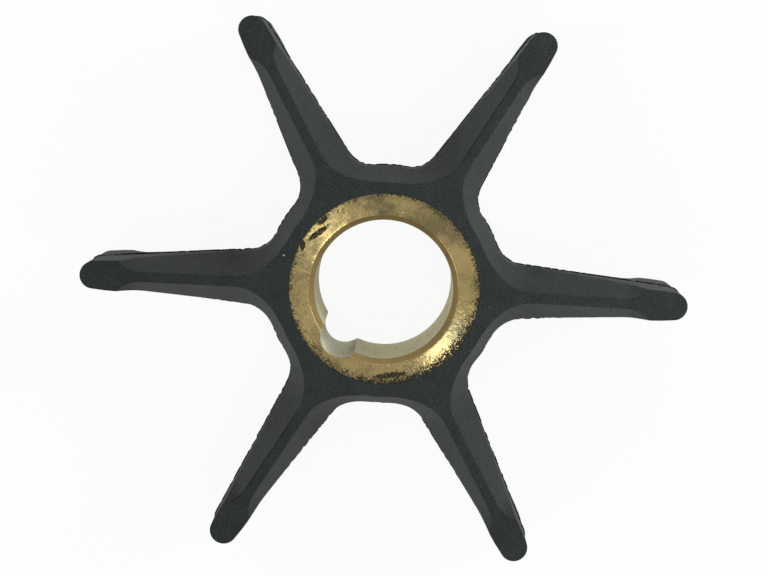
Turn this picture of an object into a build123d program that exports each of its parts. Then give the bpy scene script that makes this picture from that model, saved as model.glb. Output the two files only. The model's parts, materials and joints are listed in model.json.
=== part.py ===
"""Six-blade rubber pump impeller, cured on a turned brass bush.

The frame is in millimetres: the origin is the centre of the bore on the lower
end face, +Z runs along the bore and one blade points along +X.

Both halves of the rubber are alike. The girth is the plane half way up, where
the two halves of the mould meet, and the faces are the two flat ends.
"""
import os
from math import radians, tan

from build123d import *

# Overall sizes
impeller_diameter = 70.0     # over the blade tips, at the girth
body_length = 22.0           # rubber and brass, from end face to end face
blade_count = 6

# Brass bush
shaft_diameter = 16.0
bush_wall = 3.0
mouth_width = 0.6            # the flare at each end of the bore, along the radius
mouth_depth = 1.2            # the same flare, along the bore
rim_chamfer = 0.2            # broken outer edge of each brass end face

# Keyway, a round-bottomed groove along the whole bore
key_width = 4.76
key_centre = 7.3             # from the shaft axis to the centre of the groove
key_angle = -8.6             # from the nearest blade, around the bore

# Rubber hub
hub_wall_face = 1.36         # rubber outside the bush, at an end face
hub_wall_girth = 2.95        # the same at the girth

# Blades as seen along the bore
tip_round = 1.6              # radius of the rounded blade end, at the girth
flank_angle = 5.2            # each flank leans this much towards the tip, in degrees
wall_draft = 0.85            # draft of the steep walls, in degrees
root_fillet = 3.6            # where a blade leaves the hub, at the girth

# Pockets that hollow both sides of a blade, from each end face down
ridge_width = 1.1            # flat crest left between two pockets
pocket_slope = 13.8          # lean of the pocket floor to the axis, in degrees
pad_length = 7.0             # uncut blade end, from the tip back to the pockets
scoop_floor = 0.8            # radius of a pocket's outer end, at the girth
pocket_fillet = 2.2          # radius of a pocket's corners at the hub, at the girth

# Worked out from the sizes above
half_length = body_length / 2
tip_radius = impeller_diameter / 2
bore_radius = shaft_diameter / 2
bush_radius = bore_radius + bush_wall
key_radius = key_width / 2
pocket_spread = half_length * tan(radians(pocket_slope))
crest_width_girth = ridge_width + 2 * pocket_spread
girth_plane = Plane.XY.offset(half_length)


def corner_ring(outline, ring):
    """One ring of the outline's corners about the axis, counted from the innermost."""
    return outline.vertices().group_by(SortBy.DISTANCE)[ring]


# The whole star at the girth: a round hub and tapered blades with rounded ends
end_centre = tip_radius - tip_round
flank_end = Vector(tip_round, 0).rotate(Axis.Z, 90 - flank_angle) + Vector(end_centre, 0)
flank_start = Vector(0, flank_end.Y + flank_end.X * tan(radians(flank_angle)))
with BuildSketch(girth_plane) as star_outline:
    Circle(bush_radius + hub_wall_girth)
    with PolarLocations(0, blade_count):
        Polygon(
            flank_start,
            flank_end,
            (flank_end.X, -flank_end.Y),
            (flank_start.X, -flank_start.Y),
            align=None,
        )
        with Locations((end_centre, 0)):
            Circle(tip_round)
    fillet(corner_ring(star_outline, 0), root_fillet)

# What the pockets leave at the girth: hub, crests, and blade ends drawn oversize
with BuildSketch(girth_plane) as pocket_outline:
    Circle(bush_radius + hub_wall_face + pocket_spread)
    with PolarLocations(0, blade_count):
        Rectangle(tip_radius, crest_width_girth, align=(Align.MIN, Align.CENTER))
        with Locations((tip_radius - pad_length + scoop_floor, 0)):
            Rectangle(2 * pad_length, 2 * crest_width_girth, align=(Align.MIN, Align.CENTER))
    fillet(corner_ring(pocket_outline, 1), scoop_floor)
    fillet(corner_ring(pocket_outline, 0), pocket_fillet)

# Rubber: one moulding with hub, blades and tip pads
with BuildPart() as rubber_body:
    extrude(star_outline.sketch, amount=half_length, taper=wall_draft)
    extrude(pocket_outline.sketch, amount=half_length, taper=pocket_slope, mode=Mode.INTERSECT)
    mirror(about=girth_plane)
    with BuildSketch(Plane.XY):
        Circle(bush_radius)
    extrude(amount=body_length, mode=Mode.SUBTRACT)
rubber_body.part.label = "rubber_body"

# Brass: a turned tube with flared bore mouths and a keyway
with BuildPart() as brass_bush:
    with BuildSketch(Plane.XZ):
        with BuildLine():
            Polyline(
                (bore_radius, mouth_depth),
                (bore_radius + mouth_width, 0),
                (bush_radius - rim_chamfer, 0),
                (bush_radius, rim_chamfer),
                (bush_radius, body_length - rim_chamfer),
                (bush_radius - rim_chamfer, body_length),
                (bore_radius + mouth_width, body_length),
                (bore_radius, body_length - mouth_depth),
                close=True,
            )
        make_face()
    revolve(axis=Axis.Z)
    with BuildSketch(Plane.XY):
        with PolarLocations(key_centre, 1, start_angle=key_angle):
            Circle(key_radius)
    extrude(amount=body_length, mode=Mode.SUBTRACT)
brass_bush.part.label = "brass_bush"

os.makedirs("parts", exist_ok=True)
for piece in (rubber_body, brass_bush):
    export_step(piece.part, f"parts/{piece.part.label}.step")
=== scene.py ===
"""Looks of the rubber pump impeller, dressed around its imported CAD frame.

Lengths are in millimetres while shapes are worked out, and mesh() turns them into the
frame's metres. A picture angle is in degrees, anticlockwise from the picture's right.
"""
import json
from math import atan2, cos, hypot, pi, radians, sin, sqrt, tan

import bmesh
import bpy
import numpy as np
from mathutils import Matrix, Vector, noise


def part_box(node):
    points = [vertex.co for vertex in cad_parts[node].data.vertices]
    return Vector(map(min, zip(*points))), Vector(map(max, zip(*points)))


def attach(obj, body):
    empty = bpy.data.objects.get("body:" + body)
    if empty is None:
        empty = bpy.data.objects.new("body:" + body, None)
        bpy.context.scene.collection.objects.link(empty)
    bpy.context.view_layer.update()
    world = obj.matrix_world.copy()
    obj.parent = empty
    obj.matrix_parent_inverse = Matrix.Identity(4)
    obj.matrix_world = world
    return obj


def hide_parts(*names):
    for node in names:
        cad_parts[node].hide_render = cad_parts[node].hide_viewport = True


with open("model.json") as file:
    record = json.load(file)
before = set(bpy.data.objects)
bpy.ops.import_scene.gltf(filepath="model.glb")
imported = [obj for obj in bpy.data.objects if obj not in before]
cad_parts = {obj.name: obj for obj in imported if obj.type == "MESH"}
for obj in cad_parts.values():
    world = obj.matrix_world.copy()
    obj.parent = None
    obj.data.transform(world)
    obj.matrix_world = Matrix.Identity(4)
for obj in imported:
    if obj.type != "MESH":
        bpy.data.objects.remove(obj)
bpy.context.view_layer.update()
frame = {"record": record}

MM = 0.001

# Sizes that the frame gives
body_low, body_high = (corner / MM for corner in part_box("rubber_body"))
_, bush_high = (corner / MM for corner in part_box("brass_bush"))
mounts = {mount["name"]: mount for mount in frame["record"]["mounts"]}
key_x, key_y, _ = mounts["keyway"]["pos_m"]
TOP = body_high.z
GIRTH = TOP / 2              # where the two halves of the mould meet
TIP = body_high.x
BUSH_RADIUS = bush_high.x
BORE_RADIUS = mounts["shaft_bore"]["dims"]["r_mm"]
KEY_ANGLE = atan2(key_y, key_x)
KEY_CENTRE = hypot(key_x, key_y) / MM

# Rubber: the star at the girth
BLADES = 6
HUB_GIRTH = 14.05            # radius
TIP_ROUND = 1.6
FLANK_ANGLE = radians(5.2)
WALL_DRAFT = radians(0.85)
ROOT_FILLET = 3.6

# Rubber: the pockets, at an end face
HUB_FACE = 12.36             # radius
HUB_SLOPE = radians(9.7)
CREST_HALF = 0.55
POCKET_SLOPE = radians(13.8)
POCKET_END = TIP - 7.0
SCOOP_RADIUS = 3.5
POCKET_FILLET_FACE = 4.9
POCKET_FILLET_GIRTH = 4.0
DRAFT_FROM = POCKET_END + 0.8    # between these radii the blade's drafted walls turn upright
DRAFT_TO = POCKET_END + 4.0

# Rubber: how far a blade's tip leans round the bore, by the blade's number
BLADE_LEAN = {0: -0.19, 5: 0.22}

# Rubber: rounded edges, uneven walls, the flash at the girth and the lip over the brass
EDGE_ROUND = 0.14
CREASE_ROUND = 0.05
WAVER_COARSE = 0.020
WAVER_FINE = 0.014
WAVER_MEAN = 0.004
STEADY_TIP = 1.2             # the walls grow even over this length before the tip
FLASH_SUNK = 0.15
FLASH_REACH = 0.14
FLASH_THICK = 0.07
FLASH_LIFT = 0.03
LIP_THICK = 0.05
LIP_REACH = 0.06
HOLD = 0.06                  # a row this far inside the land's edge keeps the land flat

# Rubber: how closely the outline is divided
RUBBER_SPACING = 0.34
SCOOP_SPACING = 0.16
FLASH_SPACING = 0.11
TIP_STEPS = 15

# Rubber: rows of points from the land down to the girth
EDGE_ROWS = (0, 0.08, 0.3, 0.6, 1.0)            # shares of the rounded edge
FLOOR_ROWS = (0.1, 0.25, 0.45, 0.65, 0.85)      # shares of the pocket's floor
CREASE_ROWS = (-0.3, -0.1, 0.0, 0.1, 0.3)       # above and below the crease
WALL_ROWS = (0.35, 0.7, 1.0)                    # shares of the wall
CREASE_CLEAR = 0.3
CREASE_LEAST = 1.4
CREASE_FROM_GIRTH = 0.5

# Brass
KEY_RADIUS = 2.38
MOUTH_WIDTH = 0.6
MOUTH_DEPTH = 1.2
BRASS_EDGE = 0.1
BRASS_CLEAR = 0.01           # between the brass and the rubber's seat
RIM_SHIFT = 0.13             # how far the outside is off the bore's centre
RIM_SHIFT_ANGLE = 52         # and towards which picture angle
BORE_STEPS = 220
KEY_STEPS = 56
CORNER_STEPS = 6
RIM_ROWS = ((0, 0.05), (0.015, 0.015), (0.05, 0))          # inset and drop
MOUTH_EDGE_ROWS = ((0.08, 0), (0.03, 0.006), (0.008, 0.025))  # outset and drop
FACE_STEPS = 13
FLARE_DEPTHS = (0.1, 0.35, 0.6, 0.85, 1.08)
BORE_DEPTHS = (1.24, 1.5, 3.0, 5.0, 7.5)

# Camera, from the photograph's viewing angle
VIEW_TURN = radians(236.72)  # the picture's angle is the object's angle plus this
VIEW_DISTANCE = 362.0        # from the centre of the upper face
TILT_UP = radians(3.89)
TILT_RIGHT = radians(0.45)
FOCAL_PIXELS = 3152.0
PICTURE_WIDTH = 768
SENSOR_WIDTH = 36.0
AIM_RIGHT = 0.061            # the picture's centre, from the centre of the upper face
AIM_UP = 0.216

# Studio: each lamp's picture angle, height in degrees, watts, size and distance
LAMPS = {
    "side_right": (27, 32, 0.85, 260, 450.0),
    "side_left": (207, 32, 0.6, 260, 450.0),
    "strip": (-53, 73.3, 0.092, 21, 200),
}
SOFT_LIGHT = 0.45
FLOOR_HALF = 400.0
FLOOR_DROP = 0.02
FLOOR_GREY = (0.85, 0.85, 0.85, 1)
FLOOR_WHITE = 0.93           # how much of the floor shows as the white background

# Rubber's finish: colours, each with its opacity
LAND_COLOUR = (0.0255, 0.0305, 0.0298, 1)
SLOPE_COLOUR = (0.031, 0.040, 0.0355, 1)
# The flash is near black: partly its own rubber, partly painted shade for the shadow beside the
# fin
FLASH_AND_SHADOW_COLOUR = (0.004, 0.004, 0.004, 1)
DUST_COLOUR = (0.12, 0.125, 0.115, 1)
SPOT_COLOUR = (0.33, 0.34, 0.31, 1)
FLAT = (0.75, 0.97)          # the normal's upright share: slopes below, ground end faces above
DRAWN = (1, 1, 0.3)          # the grain is drawn out along the bore
SPECKLE_SLOPE = 1.3
SPECKLE_LAND = 0.7
DARKEST = 0.15
# Painted shade darkens the crests' edges that face this picture angle
EDGE_SHADE_ANGLE = 150
EDGE_SHADE_DEPTH = -0.7
# Painted light: the rubber grows lighter towards this picture angle, by this share each millimetre
LIGHTER_SIDE_ANGLE = 40
LIGHTER_SIDE_RISE = 0.006
# One pale spot on the rubber's upper face: picture angle, distance from the axis, radius
SPOT_ANGLE = 160.9
SPOT_DISTANCE = 12.1
SPOT_RADIUS = 0.16

# Brass's finish: colours, each with its opacity
TARNISHED = (0.112, 0.098, 0.052, 1)
CLEAN = (0.31, 0.236, 0.099, 1)
VEIN_COLOUR = (0.05, 0.04, 0.02, 1)
GLINT_COLOUR = (0.85, 0.72, 0.42, 1)
MOUTH_COLOUR = (0.37, 0.27, 0.12)
WALL_COLOUR = (0.50, 0.475, 0.335, 1)
GROOVE_COLOUR = (0.54, 0.545, 0.44, 1)
SOOT_BLACK = (0.008, 0.008, 0.007, 1)
SOOT_BROWN = (0.045, 0.036, 0.024, 1)
PIT_COLOUR = (0.05, 0.045, 0.03, 1)
# The bore's mouths and wall are painted lighter towards a picture angle, as painted light: by how
# much each millimetre, and how bright they are at the axis
MOUTH_LIGHT_TREND = (260, 0.045, 1.15)
WALL_LIGHT_TREND = (-30, 0.034, 0.95)
# Where the brass face is cleaner or duller, partly real patches and partly painted highlight and
# shade shaping the lamp's reflection: picture angle and by how much, laid on in turn
CLEAN_AND_HIGHLIGHT_SECTORS = (
    (16, 0.5), (46, -0.4), (102, -0.2), (200, 0.4), (258, 0.3), (294, -0.3),
    (322, 0.4), (348, -0.9), (124, 0.5), (62, 0.25), (4, 0.7), (160, -0.1),
)
SECTOR_SPREAD = (0.84, 0.98)
# Bright nicks crowd near the mouth at this picture angle
GLINT_ANGLE = 68
# Where the black rim reaches further in: picture angle and by how much
RIM_HEAVIER = ((-60, 0.55), (-10, 0.2), (-120, 0.2), (200, 0.1))
RIM_SPREAD = (0.5, 1.0)
RESIDUE_FROM = 9.9           # between these radii the residue grows to cover the brass
RESIDUE_TO = 11.45
# Smears of rubber on the brass face: picture angle, distance from the axis, half length,
# half width, and slant off the round
SMEARS = (
    (139, 9.95, 1.35, 0.28, -12),
    (-86, 9.90, 1.80, 0.30, 3),
    (131, 10.6, 0.70, 0.28, 0),
    (151, 10.6, 0.60, 0.30, 20),
)


# ---------------------------------------------------------------- directions

def in_object(picture_angle):
    """The frame's direction across the bore that points at that angle in the picture."""
    angle = radians(picture_angle) - VIEW_TURN
    return cos(angle), sin(angle), 0.0


def rim_shift():
    """How far the bush's outside is off the bore's centre, across the bore."""
    return RIM_SHIFT * np.array(in_object(RIM_SHIFT_ANGLE)[:2])


# ---------------------------------------------------------------- mesh helpers

class Blocks:
    """Points and faces that are gathered block by block into one mesh."""

    def __init__(self):
        self.points, self.faces, self.count = [], [], 0

    def add(self, points, faces):
        self.faces.extend(tuple(self.count + index for index in face) for face in faces)
        self.points.append(points)
        self.count += len(points)


def mesh(name, points, faces, materials, face_materials=None, smooth=True):
    """Make a mesh object from points in millimetres."""
    data = bpy.data.meshes.new(name)
    data.from_pydata([tuple(p) for p in np.asarray(points) * MM], [], faces)
    for material in materials:
        data.materials.append(material)
    if face_materials is not None:
        data.polygons.foreach_set("material_index", face_materials)
    data.polygons.foreach_set("use_smooth", [smooth] * len(data.polygons))
    data.update()
    piece = bpy.data.objects.new(name, data)
    bpy.context.scene.collection.objects.link(piece)
    return piece


def weld(piece):
    """Merge the points that neighbouring blocks share, and turn all faces outwards."""
    work = bmesh.new()
    work.from_mesh(piece.data)
    bmesh.ops.remove_doubles(work, verts=work.verts, dist=2e-7)
    bmesh.ops.recalc_face_normals(work, faces=work.faces)
    work.to_mesh(piece.data)
    work.free()


def ripple(points, size, seed=0.0):
    """Smooth noise from -1 to 1 at each point, with features of about that size."""
    shift = Vector((seed, 2 * seed, 3 * seed))
    return np.array([noise.noise(Vector(p) / size + shift) for p in points])


def turned(points, angle):
    """Points or directions turned about the bore, by an angle in radians."""
    c, s = cos(angle), sin(angle)
    points = np.array(points, float)
    x, y = points[..., 0].copy(), points[..., 1].copy()
    points[..., 0] = c * x - s * y
    points[..., 1] = s * x + c * y
    return points


def grid_faces(rows, columns, flip=False):
    """Quads between neighbouring rows and columns of a grid of points stored row by row."""
    faces = []
    for row in range(rows - 1):
        for column in range(columns - 1):
            a = row * columns + column
            quad = (a, a + 1, a + columns + 1, a + columns)
            faces.append(quad[::-1] if flip else quad)
    return faces


def divided(start, end, spacing):
    """Evenly spaced stops from start to end, both included."""
    return np.linspace(start, end, 1 + round((end - start) / spacing))


def direction_at(angle):
    return np.array((cos(angle), sin(angle)))


# --------------------------------------------------------------- rubber shapes

def star_path(spacing_flank, spacing_fine):
    """Half a blade's outline at the girth, from the tip to the middle of the gap beside it.

    Returns the points, the directions that lead straight into the rubber, and the number
    of the point where the flank ends.
    """
    outward = np.array((sin(FLANK_ANGLE), cos(FLANK_ANGLE)))
    along = np.array((-cos(FLANK_ANGLE), sin(FLANK_ANGLE)))
    end_centre = np.array((TIP - TIP_ROUND, 0.0))
    flank_end = end_centre + TIP_ROUND * outward
    height = flank_end @ outward + ROOT_FILLET
    fillet_centre = height * outward - sqrt((HUB_GIRTH + ROOT_FILLET) ** 2 - height**2) * along
    flank_length = (fillet_centre - flank_end) @ along
    points, inward = [], []
    # The rounded tip
    for angle in np.linspace(0, pi / 2 - FLANK_ANGLE, TIP_STEPS)[:-1]:
        direction = direction_at(angle)
        points.append(end_centre + TIP_ROUND * direction)
        inward.append(-direction)
    # The flank, with its points closer together beside the scooped end of the pocket
    fine_from = (flank_end[0] - POCKET_END - SCOOP_RADIUS) / cos(FLANK_ANGLE)
    fine_to = (flank_end[0] - POCKET_END + 0.6) / cos(FLANK_ANGLE)
    stops = np.concatenate((
        divided(0, fine_from, spacing_flank)[:-1],
        divided(fine_from, fine_to, spacing_fine)[:-1],
        divided(fine_to, flank_length, spacing_flank),
    ))
    for stop in stops:
        points.append(flank_end + stop * along)
        inward.append(-outward)
    root = len(points) - 1
    # The fillet at the blade's root
    hub_direction = fillet_centre / np.linalg.norm(fillet_centre)
    start = atan2(-outward[1], -outward[0])
    end = atan2(-hub_direction[1], -hub_direction[0])
    sweep = (end - start) % (2 * pi) - 2 * pi
    count = round(-sweep * ROOT_FILLET / spacing_flank)
    for angle in start + sweep * np.linspace(0, 1, count + 1)[1:]:
        direction = direction_at(angle)
        points.append(fillet_centre + ROOT_FILLET * direction)
        inward.append(direction)
    # The hub
    hub_start = atan2(hub_direction[1], hub_direction[0])
    gap = pi / BLADES
    count = max(2, round((gap - hub_start) * HUB_GIRTH / spacing_flank))
    for angle in np.linspace(hub_start, gap, count + 1)[1:]:
        direction = direction_at(angle)
        points.append(HUB_GIRTH * direction)
        inward.append(-direction)
    return np.array(points), np.array(inward), root


def pocket_distance(points, depth):
    """How far points lie outside what the pockets leave, that deep below an end face."""
    x, y = points[..., 0], np.abs(points[..., 1])
    share = depth / GIRTH
    hub = np.hypot(x, y) - (HUB_FACE + depth * tan(HUB_SLOPE))
    spread = depth * tan(POCKET_SLOPE)
    scoop = SCOOP_RADIUS - spread
    crest = y - CREST_HALF - spread
    pad = scoop - np.hypot(x - POCKET_END, CREST_HALF + SCOOP_RADIUS - y)
    blade = np.where(x > POCKET_END, pad, crest)
    fillet = POCKET_FILLET_FACE + share * (POCKET_FILLET_GIRTH - POCKET_FILLET_FACE)
    near_hub = np.maximum(fillet - hub, 0)
    near_blade = np.maximum(fillet - blade, 0)
    return np.maximum(fillet, np.minimum(hub, blade)) - np.hypot(near_hub, near_blade)


def pocket_inset(points, inward, depth):
    """How far in from the outline the pocket's floor lies, walking towards it step by step.

    A point beside the uncut blade end walks outwards without end, and is stopped there.
    """
    inset = np.zeros(np.broadcast_shapes(points.shape[:-1], depth.shape))
    for _ in range(60):
        step = 0.9 * pocket_distance(points + inset[..., None] * inward, depth)
        inset = np.maximum(inset + step, -1.0)
    return inset


def wall_inset(points, depth):
    """How far in the steep outer wall lies; its draft runs out towards the blade's end."""
    upright = np.clip((points[..., 0] - DRAFT_FROM) / (DRAFT_TO - DRAFT_FROM), 0, 1)
    return (GIRTH - depth) * tan(WALL_DRAFT) * (1 - upright)


def crease_depth(points, inward):
    """How deep the pocket's floor meets the steep outer wall, found by halving."""
    low = np.zeros(len(points))
    high = np.full(len(points), GIRTH)
    for _ in range(24):
        middle = (low + high) / 2
        inside = pocket_inset(points, inward, middle) > wall_inset(points, middle)
        low = np.where(inside, middle, low)
        high = np.where(inside, high, middle)
    return (low + high) / 2


def surface_insets(points, inward, depths):
    """Inset from the girth outline: pocket or wall, whichever cuts deeper, with the edge."""
    pocket = pocket_inset(points[:, None, :], inward[:, None, :], depths)
    wall = wall_inset(points[:, None, :], depths)
    inset = (pocket + wall + np.sqrt((pocket - wall) ** 2 + CREASE_ROUND**2)) / 2
    rounding = np.clip(EDGE_ROUND - depths, 0, EDGE_ROUND)
    return inset + EDGE_ROUND - np.sqrt(EDGE_ROUND**2 - rounding**2)


def rubber_half_sector():
    """Half a blade and half a gap: the outline, with each row's depth and inset."""
    points, inward, root = star_path(RUBBER_SPACING, SCOOP_SPACING)
    crease = np.clip(crease_depth(points, inward), CREASE_LEAST, GIRTH - CREASE_FROM_GIRTH)
    rows = [np.full(len(points), EDGE_ROUND * share) for share in EDGE_ROWS]
    rows += [EDGE_ROUND + share * (crease - CREASE_CLEAR - EDGE_ROUND) for share in FLOOR_ROWS]
    rows += [crease + step for step in CREASE_ROWS]
    rows += [crease + CREASE_CLEAR + share * (GIRTH - crease - CREASE_CLEAR)
             for share in WALL_ROWS]
    depths = np.stack(rows, 1)
    return points, inward, root, depths, surface_insets(points, inward, depths)


def wavering(place, depths):
    """Small unevenness of the rubber's sides, fading at the edge and towards the tip."""
    flat_place = place.reshape(-1, 3)
    waver = WAVER_COARSE * ripple(flat_place, 1.1) + WAVER_FINE * ripple(flat_place, 0.45, 3.0)
    radii = np.hypot(place[..., 0], place[..., 1])
    fade = np.clip((radii - TIP + STEADY_TIP) / STEADY_TIP, 0, 1)
    waver = waver.reshape(depths.shape) * (1 - fade) * (0.15 + 0.85 * depths / GIRTH)
    return waver + WAVER_MEAN


def add_land(blocks, edge, inner, root, turn, mirror, side):
    """The ground end face of one half sector, and the seat of the brass below its lip."""
    flip = (mirror > 0) != (side > 0)
    height = TOP if side > 0 else 0.0
    hold = edge.copy()
    hold[:, :2] += HOLD * inner
    blocks.add(np.concatenate((edge, hold)), grid_faces(2, len(edge), flip=flip))
    # Half the blade's crest, from the edge to the blade's middle
    axis = direction_at(turn)
    middle = (hold[: root + 1, :2] @ axis)[:, None] * axis
    spine = np.column_stack((middle, np.full(root + 1, height)))
    crest = np.concatenate((hold[: root + 1], spine))
    blocks.add(crest, grid_faces(2, root + 1, flip=flip))
    # The hub, from the edge to the lip over the brass
    ring_columns = len(edge) - root
    angles = turn + mirror * np.linspace(0, pi / BLADES, ring_columns)
    rim = lip_rim(angles, height)
    rim_hold = rim.copy()
    rim_hold[:, :2] *= 1 + 0.05 / np.hypot(rim[:, 0], rim[:, 1])[:, None]
    fan = np.concatenate((hold[root:], rim_hold, rim))
    blocks.add(fan, grid_faces(3, ring_columns, flip=flip))
    corner = np.stack((hold[root], spine[root], rim_hold[0]))
    blocks.add(corner, [(2, 1, 0) if flip else (0, 1, 2)])
    # Under the lip and down the seat to the girth
    under = rim.copy()
    under[:, 2] -= side * LIP_THICK
    seat = under.copy()
    seat[:, :2] = BUSH_RADIUS * np.column_stack((np.cos(angles), np.sin(angles))) + rim_shift()
    bottom = seat.copy()
    bottom[:, 2] = GIRTH
    inside = np.concatenate((rim, under, seat, bottom))
    blocks.add(inside, grid_faces(4, ring_columns, flip=flip))


def build_rubber(materials):
    """The moulding in 24 half sectors, each a curved side and its share of the end face."""
    points, inward, root, depths, insets = rubber_half_sector()
    columns, rows = depths.shape
    blocks = Blocks()
    for side in (1, -1):
        height = GIRTH + side * (GIRTH - depths)
        for blade in range(BLADES):
            turn = blade * 2 * pi / BLADES
            for mirror in (1, -1):
                outline = turned(points * (1, mirror), turn)
                inner = turned(inward * (1, mirror), turn)
                across = np.broadcast_to(outline[:, None, :], (columns, rows, 2))
                place = np.concatenate((across, height[..., None]), 2)
                inset = insets + wavering(place, depths)
                place[..., :2] += inset[..., None] * inner[:, None, :]
                same = (mirror > 0) == (side > 0)
                blocks.add(place.reshape(-1, 3), grid_faces(columns, rows, flip=same))
                add_land(blocks, place[:, 0, :], inner, root, turn, mirror, side)
    body_faces = len(blocks.faces)
    blocks.add(*flash_strip())
    material_index = [0] * body_faces + [1] * (len(blocks.faces) - body_faces)
    shape = flexed(np.concatenate(blocks.points))
    piece = mesh("rubber_moulding", shape, blocks.faces, materials, material_index)
    weld(piece)
    return piece


def flexed(points):
    """Two blades lean a little to one side, more towards the tip, as in the photograph."""
    points = points.copy()
    angles = np.arctan2(points[:, 1], points[:, 0])
    radii = np.hypot(points[:, 0], points[:, 1])
    for blade, lean in BLADE_LEAN.items():
        turn = blade * 2 * pi / BLADES
        near = np.cos(angles - turn) > cos(pi / BLADES)
        shift = near * lean * np.clip((radii - HUB_GIRTH) / (TIP - HUB_GIRTH), 0, 1)
        points[:, 0] -= shift * sin(turn)
        points[:, 1] += shift * cos(turn)
    points[:, 1] = np.clip(points[:, 1], body_low.y, body_high.y)
    return points


def lip_rim(angles, height):
    """Where the rubber's lip ends over the brass: a ragged line just inside the bush's rim."""
    circle = np.column_stack((BUSH_RADIUS * np.cos(angles), BUSH_RADIUS * np.sin(angles),
                              np.full(len(angles), height)))
    ragged = 0.5 + 0.7 * ripple(circle, 1.6, 5.0) + 0.5 * ripple(circle, 0.5, 9.0)
    reach = LIP_REACH * np.clip(ragged, 0, 1)
    circle[:, 0] -= reach * np.cos(angles)
    circle[:, 1] -= reach * np.sin(angles)
    circle[:, :2] += rim_shift()
    return circle


def flash_reach(flat, outline, inner):
    """How far the flash stands out at each point: ragged, and kept inside the CAD box."""
    ragged = (0.4 * ripple(flat, 3.1, 1.0) + 0.9 * ripple(flat, 0.6, 4.0)
              + 0.7 * ripple(flat, 0.28, 8.0))
    reach = FLASH_REACH * np.clip(0.9 + ragged, 0.2, 1)
    room = TIP - 0.02 - np.hypot(outline[:, 0], outline[:, 1])
    away = np.sign(outline[:, 1]) * -inner[:, 1]
    room_across = (body_high.y - 0.01 - np.abs(outline[:, 1])) / np.maximum(away, 0.01)
    return np.clip(np.minimum(room, room_across), 0, reach)


def flash_strip():
    """The thin ragged fin that squeezed out between the two halves of the mould."""
    points, inward, _ = star_path(FLASH_SPACING, FLASH_SPACING)
    count = len(points)
    strip = Blocks()
    for blade in range(BLADES):
        for mirror in (1, -1):
            turn = blade * 2 * pi / BLADES
            outline = turned(points * (1, mirror), turn)
            inner = turned(inward * (1, mirror), turn)
            flat = np.column_stack((outline, np.full(count, GIRTH)))
            reach = flash_reach(flat, outline, inner)
            lift = FLASH_LIFT * ripple(flat, 1.3, 6.0)
            rows = []
            for inset, rise in ((FLASH_SUNK, 0.5), (0.0, 0.42), (-reach, 0.15),
                                (-reach, -0.15), (0.0, -0.42), (FLASH_SUNK, -0.5)):
                row = flat.copy()
                row[:, :2] += np.broadcast_to(inset, count)[:, None] * inner
                row[:, 2] += rise * FLASH_THICK + lift
                rows.append(row)
            faces = grid_faces(len(rows), count, flip=mirror > 0)
            for a in range(count - 1):
                b = (len(rows) - 1) * count + a
                quad = (a, b, b + 1, a + 1)
                faces.append(quad if mirror > 0 else quad[::-1])
            strip.add(np.concatenate(rows), faces)
    return np.concatenate(strip.points), strip.faces


# ---------------------------------------------------------------- brass shapes

def bore_outline(bore_radius):
    """The bore with its keyway in plan, the two long corners between them rounded."""
    reach = bore_radius + BRASS_EDGE
    key_reach = KEY_RADIUS + BRASS_EDGE
    turn = np.arccos((reach**2 + KEY_CENTRE**2 - key_reach**2) / (2 * reach * KEY_CENTRE))
    corner = reach * direction_at(turn)
    key_centre = np.array((KEY_CENTRE, 0.0))
    to_key = (key_centre - corner) / key_reach
    key_from = atan2(*(corner - key_centre)[::-1])
    bore_arc = np.linspace(turn, 2 * pi - turn, BORE_STEPS)
    bore = bore_radius * np.column_stack((np.cos(bore_arc), np.sin(bore_arc)))
    key_arc = np.linspace(-key_from, key_from, KEY_STEPS)
    key = key_centre + KEY_RADIUS * np.column_stack((np.cos(key_arc), np.sin(key_arc)))
    first = atan2(to_key[1], to_key[0])
    last = turn + pi
    last -= 2 * pi * round((last - first) / (2 * pi))
    round_arc = np.linspace(first, last, CORNER_STEPS)[1:-1]
    rounded = corner + BRASS_EDGE * np.column_stack((np.cos(round_arc), np.sin(round_arc)))
    mirrored = rounded[::-1] * (1, -1)
    return turned(np.concatenate((bore, mirrored, key, rounded)), KEY_ANGLE)


def brass_rings():
    """Rings from the girth up the outside, over the end face and down the bore."""
    face = TOP - LIP_THICK
    mouth = bore_outline(BORE_RADIUS + MOUTH_WIDTH)
    reach = np.hypot(mouth[:, 0], mouth[:, 1])
    outward = mouth / reach[:, None]
    outer = BUSH_RADIUS - BRASS_CLEAR
    rim_inset = RIM_ROWS[-1][0]
    mouth_outset = MOUTH_EDGE_ROWS[0][0]
    rings = [(outer * outward + rim_shift(), GIRTH)]
    for inset, drop in RIM_ROWS:
        rings.append(((outer - inset) * outward + rim_shift(), face - drop))
    for share in np.linspace(0, 1, FACE_STEPS)[1:-1]:
        radius = (outer - rim_inset) + share * (reach + mouth_outset - outer + rim_inset)
        rings.append((radius[:, None] * outward + (1 - share) * rim_shift(), face))
    for outset, drop in MOUTH_EDGE_ROWS:
        rings.append((mouth + outset * outward, face - drop))
    for depth in FLARE_DEPTHS:
        radius = BORE_RADIUS + MOUTH_WIDTH * (1 - depth / MOUTH_DEPTH)
        rings.append((bore_outline(radius), face - depth))
    for depth in BORE_DEPTHS:
        rings.append((bore_outline(BORE_RADIUS), face - depth))
    rings.append((bore_outline(BORE_RADIUS), GIRTH))
    return rings


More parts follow.
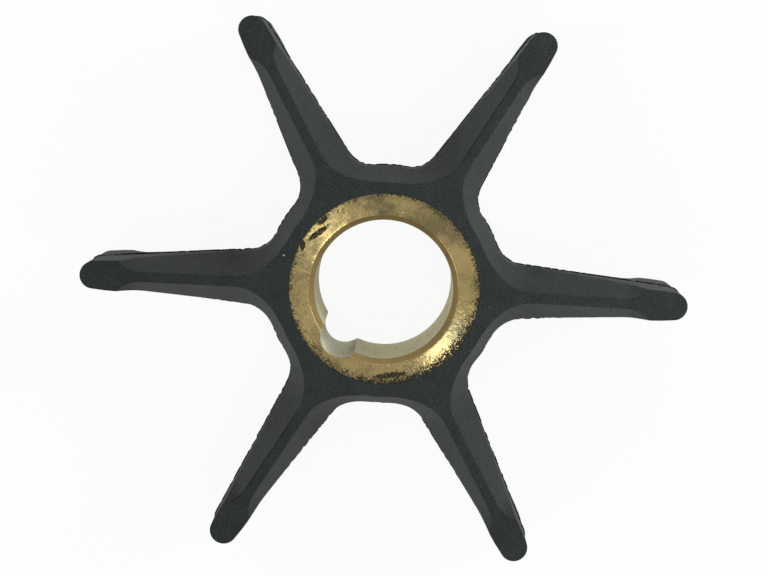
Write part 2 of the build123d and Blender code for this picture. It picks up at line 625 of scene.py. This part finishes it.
def build_brass(material):
    """The bush: the same rings for the upper half and, turned over, for the lower."""
    rings = brass_rings()
    count = len(rings[0][0])
    blocks = Blocks()
    for side in (1, -1):
        points = [np.column_stack((ring, np.full(count, GIRTH + side * (height - GIRTH))))
                  for ring, height in rings]
        faces = []
        for row in range(len(rings) - 1):
            for column in range(count):
                a = row * count + column
                b = row * count + (column + 1) % count
                quad = (a, b, b + count, a + count)
                faces.append(quad if side < 0 else quad[::-1])
        blocks.add(np.concatenate(points), faces)
    piece = mesh("turned_bush", np.concatenate(blocks.points), blocks.faces, [material])
    weld(piece)
    return piece


# ------------------------------------------------------------------- materials

class Shader:
    """A material's or world's nodes, with one short call for each.

    An input takes a value or another node's output, and a size is in millimetres.
    """

    def __init__(self, owner):
        owner.use_nodes = True
        self.owner = owner
        self.tree = owner.node_tree
        self.tree.nodes.clear()

    def node(self, kind, inputs=None, **settings):
        made = self.tree.nodes.new("ShaderNode" + kind)
        for key, value in settings.items():
            setattr(made, key, value)
        for key, value in (inputs or {}).items():
            if isinstance(value, bpy.types.NodeSocket):
                self.tree.links.new(value, made.inputs[key])
            else:
                made.inputs[key].default_value = value
        return made

    def vector(self, operation, a, b):
        return self.node("VectorMath", {0: a, 1: b}, operation=operation).outputs[0]

    def scaled(self, vector, factor):
        inputs = {0: vector, "Scale": factor}
        return self.node("VectorMath", inputs, operation="SCALE").outputs[0]

    def length(self, vector):
        return self.node("VectorMath", {0: vector}, operation="LENGTH").outputs["Value"]

    def distance(self, a, b):
        return self.node("VectorMath", {0: a, 1: b}, operation="DISTANCE").outputs["Value"]

    def towards(self, vector, picture_angle):
        """How far a vector reaches towards a picture angle."""
        inputs = {0: vector, 1: in_object(picture_angle)}
        return self.node("VectorMath", inputs, operation="DOT_PRODUCT").outputs["Value"]

    def millimetres(self):
        return self.scaled(self.node("TexCoord").outputs["Object"], 1 / MM)

    def flattened(self, axes):
        """A place without its height."""
        return self.node("CombineXYZ", {"X": axes["X"], "Y": axes["Y"]}).outputs[0]

    def noise(self, vector, size, detail=2.0, rough=0.5, distortion=0.0):
        """Noise from 0 to 1 with features of about that size."""
        inputs = {"Vector": vector, "Scale": 1 / size, "Detail": detail, "Roughness": rough,
                  "Distortion": distortion}
        return self.node("TexNoise", inputs).outputs["Fac"]

    def math(self, operation, a, b=0.5, c=0.5, clamp=False):
        inputs = {0: a, 1: b, 2: c}
        return self.node("Math", inputs, operation=operation, use_clamp=clamp).outputs[0]

    def product(self, first, *others):
        for other in others:
            first = self.math("MULTIPLY", first, other)
        return first

    def rest(self, share):
        """What a share leaves of 1."""
        return self.math("SUBTRACT", 1.0, share)

    def centred(self, value):
        """A value from 0 to 1, moved to lie about 0."""
        return self.math("SUBTRACT", value, 0.5)

    def step(self, value, low, high):
        """0 below low and 1 above high, smooth between; low may be the larger."""
        inputs = {"Value": value, "From Min": low, "From Max": high}
        return self.node("MapRange", inputs, interpolation_type="SMOOTHSTEP").outputs[0]

    def mix(self, share, a, b):
        inputs = {"Factor": share, 6: a, 7: b}
        return self.node("Mix", inputs, data_type="RGBA").outputs[2]

    def bump(self, height, distance, strength=1.0, normal=None):
        inputs = {"Height": height, "Distance": distance * MM, "Strength": strength}
        if normal is not None:
            inputs["Normal"] = normal
        return self.node("Bump", inputs).outputs[0]

    def finish(self, surface, output="OutputMaterial"):
        self.node(output, {"Surface": surface})
        return self.owner


def rubber_edge_shade(s, normal_here, facing, radius):
    """A dark line of painted shade along the crests' edges on one side."""
    tilt = s.math("ABSOLUTE", facing)
    return s.product(
        s.step(tilt, 0.3, 0.5),
        s.step(tilt, 1.0, 0.8),
        s.step(s.towards(normal_here, EDGE_SHADE_ANGLE), 0.35, 0.6),
        s.step(radius, POCKET_END + 2.5, POCKET_END + 1.0),
        s.step(radius, HUB_GIRTH + 2.0, HUB_GIRTH + 5.0),
    )


def rubber_material(name, land, slope, shine, rough):
    """Moulded rubber: a fine grain, faint mottling, pale dust, painted shade along some crests'
    edges and painted light towards one side; the ground end faces are darker.
    """
    s = Shader(bpy.data.materials.new(name))
    place = s.millimetres()
    radius = s.length(s.flattened(s.node("SeparateXYZ", {0: place}).outputs))
    normal_here = s.node("NewGeometry").outputs["Normal"]
    facing = s.node("SeparateXYZ", {0: normal_here}).outputs["Z"]
    flat = s.step(s.math("ABSOLUTE", facing), *FLAT)
    colour = s.mix(flat, slope, land)

    # How dark or light the rubber is from place to place, with painted shade and painted light
    # laid on
    drawn = s.vector("MULTIPLY", place, DRAWN)
    grain = s.centred(s.noise(drawn, 0.13, 2.0, 0.6))
    speckle = s.centred(s.noise(drawn, 0.22, 1.0, 0.5))
    shade = s.math("MULTIPLY_ADD", s.noise(drawn, 2.0, 3.0), 0.5, 0.75)
    shade = s.math("MULTIPLY_ADD", grain, 2.3, shade)
    strength = s.math("MULTIPLY_ADD", flat, SPECKLE_LAND - SPECKLE_SLOPE, SPECKLE_SLOPE)
    shade = s.math("ADD", shade, s.product(speckle, strength))
    # Painted shade along the crests' edges that face one way
    edge_shade = rubber_edge_shade(s, normal_here, facing, radius)
    shade = s.product(shade, s.math("MULTIPLY_ADD", edge_shade, EDGE_SHADE_DEPTH, 1.0))
    # Painted light: lighter towards one side
    lighter_side = s.math("MULTIPLY_ADD", s.towards(place, LIGHTER_SIDE_ANGLE), LIGHTER_SIDE_RISE, 1.0)
    shade = s.math("MAXIMUM", s.product(shade, lighter_side), DARKEST)
    shaded = s.scaled(colour, shade)

    # Dust, sparse and of uneven strength, and the pale spot
    cells = s.node("TexVoronoi", {"Vector": drawn, "Scale": 2.2}).outputs
    luck = s.node("SeparateColor", {0: cells["Color"]}).outputs[0]
    dust = s.product(s.step(cells["Distance"], 0.17, 0.06), s.step(luck, 0.62, 1.1))
    shaded = s.mix(dust, shaded, DUST_COLOUR)
    spot_at = Vector(in_object(SPOT_ANGLE)) * SPOT_DISTANCE + Vector((0, 0, TOP))
    spot = s.distance(place, spot_at)
    spot = s.math("MULTIPLY_ADD", s.centred(s.noise(place, 0.2)), 0.3, spot)
    shaded = s.mix(s.step(spot, SPOT_RADIUS, 0.4 * SPOT_RADIUS), shaded, SPOT_COLOUR)

    normal = s.bump(grain, 0.012, 1.0)
    normal = s.bump(s.noise(place, 1.6, 2.0), 0.04, 0.4, normal)
    inputs = {"Base Color": shaded, "Roughness": s.math("MULTIPLY_ADD", grain, 0.5, rough),
              "Specular IOR Level": shine, "Normal": normal}
    return s.finish(s.node("BsdfPrincipled", inputs).outputs[0])


def painted_light_trend(s, flat_place, picture_angle, rise, at_axis):
    """Painted light: a brightness that grows evenly across the bore towards a picture angle."""
    return s.math("MULTIPLY_ADD", s.towards(flat_place, picture_angle), rise, at_axis)


def rings_place(s, flat_place, radius, size_round, size_out):
    """A texture place whose features have those sizes round the bore and outwards."""
    middle = (BORE_RADIUS + BUSH_RADIUS) / 2
    round_place = s.scaled(flat_place, s.math("DIVIDE", middle / size_round, radius))
    out = s.node("CombineXYZ", {"Z": s.math("DIVIDE", radius, size_out)}).outputs[0]
    return s.vector("ADD", round_place, out)


def face_colour(s, place, flat_place, outward, radius, patches, clots):
    """The brass end face, patchy and veined, partly painted lighter and darker in sectors round
    the lamp's highlight, and where it carries bright nicks.
    """
    clouds = s.noise(place, 3.5, 2.0)
    fine = s.noise(place, 0.16, 3.0, 0.65)
    tone_and_highlight = s.math("MULTIPLY_ADD", fine, 0.5, s.product(patches, 0.5))
    tone_and_highlight = s.step(s.math("MULTIPLY_ADD", clouds, 0.5, tone_and_highlight), 0.55, 0.95)
    # Sectors made cleaner or duller: partly real patches, partly painted highlight and shade
    for angle, amount in CLEAN_AND_HIGHLIGHT_SECTORS:
        near = s.step(s.towards(outward, angle), *SECTOR_SPREAD)
        tone_and_highlight = s.math("MULTIPLY_ADD", near, amount, tone_and_highlight, clamp=True)
    colour = s.mix(tone_and_highlight, TARNISHED, CLEAN)
    vein = s.math("ABSOLUTE", s.centred(s.noise(place, 0.8, 2.0, 0.6, 0.5)))
    vein = s.product(s.step(vein, 0.02, 0.004), s.step(clots, 0.5, 0.62), 0.7)
    colour = s.mix(vein, colour, VEIN_COLOUR)
    mouth_radius = BORE_RADIUS + MOUTH_WIDTH
    crowded = s.product(s.step(s.towards(flat_place, GLINT_ANGLE), 8.0, 9.5), 0.07)
    glints = s.math("ADD", s.noise(place, 0.2, 1.0, 0.5), crowded)
    bright = s.product(
        s.step(glints, 0.66, 0.72),
        s.step(radius, mouth_radius + 0.9, mouth_radius + 0.1),
        s.step(clouds, 0.46, 0.56),
    )
    return s.mix(bright, colour, GLINT_COLOUR), bright


def bore_colour(s, flat_place):
    """The bore's pale wall, paler and greyer inside the keyway, with painted light towards one
    side.
    """
    groove = (KEY_CENTRE * cos(KEY_ANGLE), KEY_CENTRE * sin(KEY_ANGLE), 0)
    in_groove = s.step(s.distance(flat_place, groove), KEY_RADIUS + 0.06, KEY_RADIUS + 0.02)
    colour = s.mix(in_groove, WALL_COLOUR, GROOVE_COLOUR)
    # Painted light brightens the wall towards one side
    return s.scaled(colour, painted_light_trend(s, flat_place, *WALL_LIGHT_TREND))


def residue(s, place, flat_place, outward, clots):
    """Black residue on the brass: specks that crowd towards the rim, and a few smears."""
    rim = s.length(s.vector("SUBTRACT", flat_place, (*rim_shift(), 0)))
    rim = s.math("MULTIPLY_ADD", s.centred(clots), 1.6, rim)
    for angle, amount in RIM_HEAVIER:
        near = s.step(s.towards(outward, angle), *RIM_SPREAD)
        rim = s.math("MULTIPLY_ADD", near, amount, rim)
    inputs = {"Value": rim, "From Min": RESIDUE_FROM, "From Max": RESIDUE_TO}
    crowd = s.node("MapRange", inputs).outputs[0]
    for angle, distance, half_length, half_width, slant in SMEARS:
        centre = [distance * part for part in in_object(angle)]
        middle = s.vector("SUBTRACT", flat_place, centre)
        along = s.math("DIVIDE", s.towards(middle, angle + 90 + slant), half_length)
        across = s.math("DIVIDE", s.towards(middle, angle + slant), half_width)
        spread = s.math("ADD", s.product(along, along), s.product(across, across))
        crowd = s.math("MAXIMUM", crowd, s.product(s.step(spread, 2.6, 0.3), 1.05))
    crumbs = s.centred(s.noise(place, 0.2, 2.0, 0.5))
    loose = s.math("MULTIPLY_ADD", crumbs, 2.0, crowd)
    dots = s.step(s.noise(place, 0.3, 1.0, 0.5), 0.76, 0.8)
    return s.math("MAXIMUM", s.step(loose, 0.3, 1.0), dots)


def brass_material():
    """Turned brass: patchy dull face, browner mouths, pale bore, black residue at the rim."""
    s = Shader(bpy.data.materials.new("brass"))
    place = s.millimetres()
    flat_place = s.flattened(s.node("SeparateXYZ", {0: place}).outputs)
    radius = s.length(flat_place)
    outward = s.node("VectorMath", {0: flat_place}, operation="NORMALIZE").outputs[0]
    facing = s.node("SeparateXYZ", {0: s.node("NewGeometry").outputs["Normal"]}).outputs["Z"]
    upright = s.math("ABSOLUTE", facing)
    patches = s.noise(place, 1.5, 4.0, 0.6, 0.6)
    clots = s.noise(place, 0.9, 3.0, 0.6)

    # End face with its rim, flared mouths and bore wall
    face = s.math("MAXIMUM", s.step(upright, 0.7, 0.9), s.step(radius, 10.5, 10.6))
    mouth = s.product(s.step(upright, 0.15, 0.35), s.rest(face))
    wall = s.rest(s.math("ADD", face, mouth, clamp=True))
    colour, bright = face_colour(s, place, flat_place, outward, radius, patches, clots)
    # Painted light brightens the mouths towards one side
    mouth_colour = s.scaled(MOUTH_COLOUR, painted_light_trend(s, flat_place, *MOUTH_LIGHT_TREND))
    colour = s.mix(mouth, colour, mouth_colour)
    colour = s.mix(wall, colour, bore_colour(s, flat_place))

    # Residue on the face, pits in the wall
    dark = s.product(residue(s, place, flat_place, outward, clots), face)
    colour = s.mix(dark, colour, s.mix(s.noise(place, 0.5, 3.0), SOOT_BLACK, SOOT_BROWN))
    streaky = s.vector("MULTIPLY", place, (1, 1, 0.12))
    pits = s.product(s.step(s.noise(streaky, 0.22, 2.0, 0.6), 0.58, 0.67), wall, 0.55)
    colour = s.mix(pits, colour, PIT_COLOUR)

    turning_marks = s.noise(rings_place(s, flat_place, radius, 5.0, 0.09), 1.0, 2.0)
    normal = s.bump(s.noise(place, 0.35, 2.0, 0.5), 0.004, 0.8)
    normal = s.bump(s.noise(place, 0.8, 2.0, 0.5, 0.8), 0.010, 1.0, normal)
    normal = s.bump(turning_marks, 0.008, 0.5, normal)
    normal = s.bump(dark, 0.006, 0.25, normal)
    roughness = s.math("MULTIPLY_ADD", patches, 0.22, 0.11)
    roughness = s.math("MAXIMUM", roughness, s.product(wall, 0.45))
    roughness = s.math("MAXIMUM", roughness, s.product(dark, 0.6))
    roughness = s.math("MULTIPLY_ADD", bright, -0.25, roughness)
    metal = s.math("MULTIPLY_ADD", mouth, -0.4, s.rest(s.product(dark, 0.95)))
    tangent = s.node("Tangent", direction_type="RADIAL", axis="Z").outputs[0]
    inputs = {"Base Color": colour, "Metallic": metal, "Roughness": roughness,
              "Normal": normal, "Anisotropic": 0.9, "Anisotropic Rotation": 0.25,
              "Tangent": tangent, "Specular IOR Level": 0.15,
              "Specular Tint": (0.7, 0.65, 0.5, 1)}
    return s.finish(s.node("BsdfPrincipled", inputs).outputs[0])


def background_share(s):
    """1 for what the camera sees straight, mirrored or through glass, 0 for other light."""
    path = s.node("LightPath").outputs
    seen = s.math("ADD", path["Is Camera Ray"], path["Is Glossy Ray"])
    return s.math("ADD", seen, path["Is Transmission Ray"], clamp=True)


def floor_material():
    """White paper that shows as the white background but keeps some of the object's shadow."""
    s = Shader(bpy.data.materials.new("floor_paper"))
    paper = s.node("BsdfDiffuse", {"Color": FLOOR_GREY}).outputs[0]
    white = s.node("Emission", {"Strength": 1.0}).outputs[0]
    share = s.product(background_share(s), FLOOR_WHITE)
    return s.finish(s.node("MixShader", {0: share, 1: paper, 2: white}).outputs[0])


# ---------------------------------------------------------- camera and lights

def picture_axes():
    """The picture's right and up directions and the way back to the camera, in the frame."""
    flat_up = Vector(in_object(90))
    flat_right = Vector(in_object(0))
    back = Vector((0, 0, 1)) + tan(TILT_UP) * flat_up + tan(TILT_RIGHT) * flat_right
    back = back.normalized()
    up = (flat_up - flat_up.dot(back) * back).normalized()
    return up.cross(back), up, back


def place_camera():
    right, up, back = picture_axes()
    data = bpy.data.cameras.new("camera")
    data.sensor_width = SENSOR_WIDTH
    data.lens = FOCAL_PIXELS * SENSOR_WIDTH / PICTURE_WIDTH
    data.clip_start = 0.01
    data.clip_end = 10.0
    camera = bpy.data.objects.new("camera", data)
    bpy.context.scene.collection.objects.link(camera)
    where = Vector((0, 0, TOP)) + VIEW_DISTANCE * back + AIM_RIGHT * right + AIM_UP * up
    turn = Matrix((right, up, back)).transposed().to_4x4()
    camera.matrix_world = Matrix.Translation(where * MM) @ turn
    bpy.context.scene.camera = camera


def place_lamp(name, picture_angle, elevation, power, size, distance):
    """A square soft lamp that faces the part, at an angle in the picture and above the floor."""
    rise = radians(elevation)
    back = cos(rise) * Vector(in_object(picture_angle)) + Vector((0, 0, sin(rise)))
    data = bpy.data.lights.new(name, "AREA")
    data.energy = power
    data.size = size * MM
    lamp = bpy.data.objects.new(name, data)
    bpy.context.scene.collection.objects.link(lamp)
    lamp.matrix_world = (Matrix.Translation((Vector((0, 0, GIRTH)) + distance * back) * MM)
                         @ back.to_track_quat("Z", "Y").to_matrix().to_4x4())


def set_world():
    """Even soft light on the object, and a white background."""
    s = Shader(bpy.data.worlds.new("studio"))
    bpy.context.scene.world = s.owner
    soft = s.node("Background", {"Color": (1, 1, 1, 1), "Strength": SOFT_LIGHT}).outputs[0]
    white = s.node("Background", {"Color": (1, 1, 1, 1), "Strength": 1.0}).outputs[0]
    both = s.node("MixShader", {0: background_share(s), 1: soft, 2: white}).outputs[0]
    s.finish(both, "OutputWorld")


def place_floor():
    corners = [(x * FLOOR_HALF, y * FLOOR_HALF, -FLOOR_DROP)
               for x, y in ((-1, -1), (1, -1), (1, 1), (-1, 1))]
    floor = mesh("floor", corners, [(0, 1, 2, 3)], [floor_material()], smooth=False)


# --------------------------------------------------------------- the whole part

bpy.context.scene.view_settings.view_transform = "Standard"
place_camera()
place_floor()
set_world()
for lamp_name, lamp_values in LAMPS.items():
    place_lamp(lamp_name, *lamp_values)

rubber = build_rubber([
    rubber_material("rubber", LAND_COLOUR, SLOPE_COLOUR, shine=0.05, rough=0.6),
    # The flash's near-black colour is partly painted shade for the fin's shadow
    rubber_material("rubber_flash_and_shadow", FLASH_AND_SHADOW_COLOUR, FLASH_AND_SHADOW_COLOUR, shine=0.1, rough=0.5),
])
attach(rubber, "root")
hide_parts("rubber_body")

bush = build_brass(brass_material())
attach(bush, "root")
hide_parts("brass_bush")
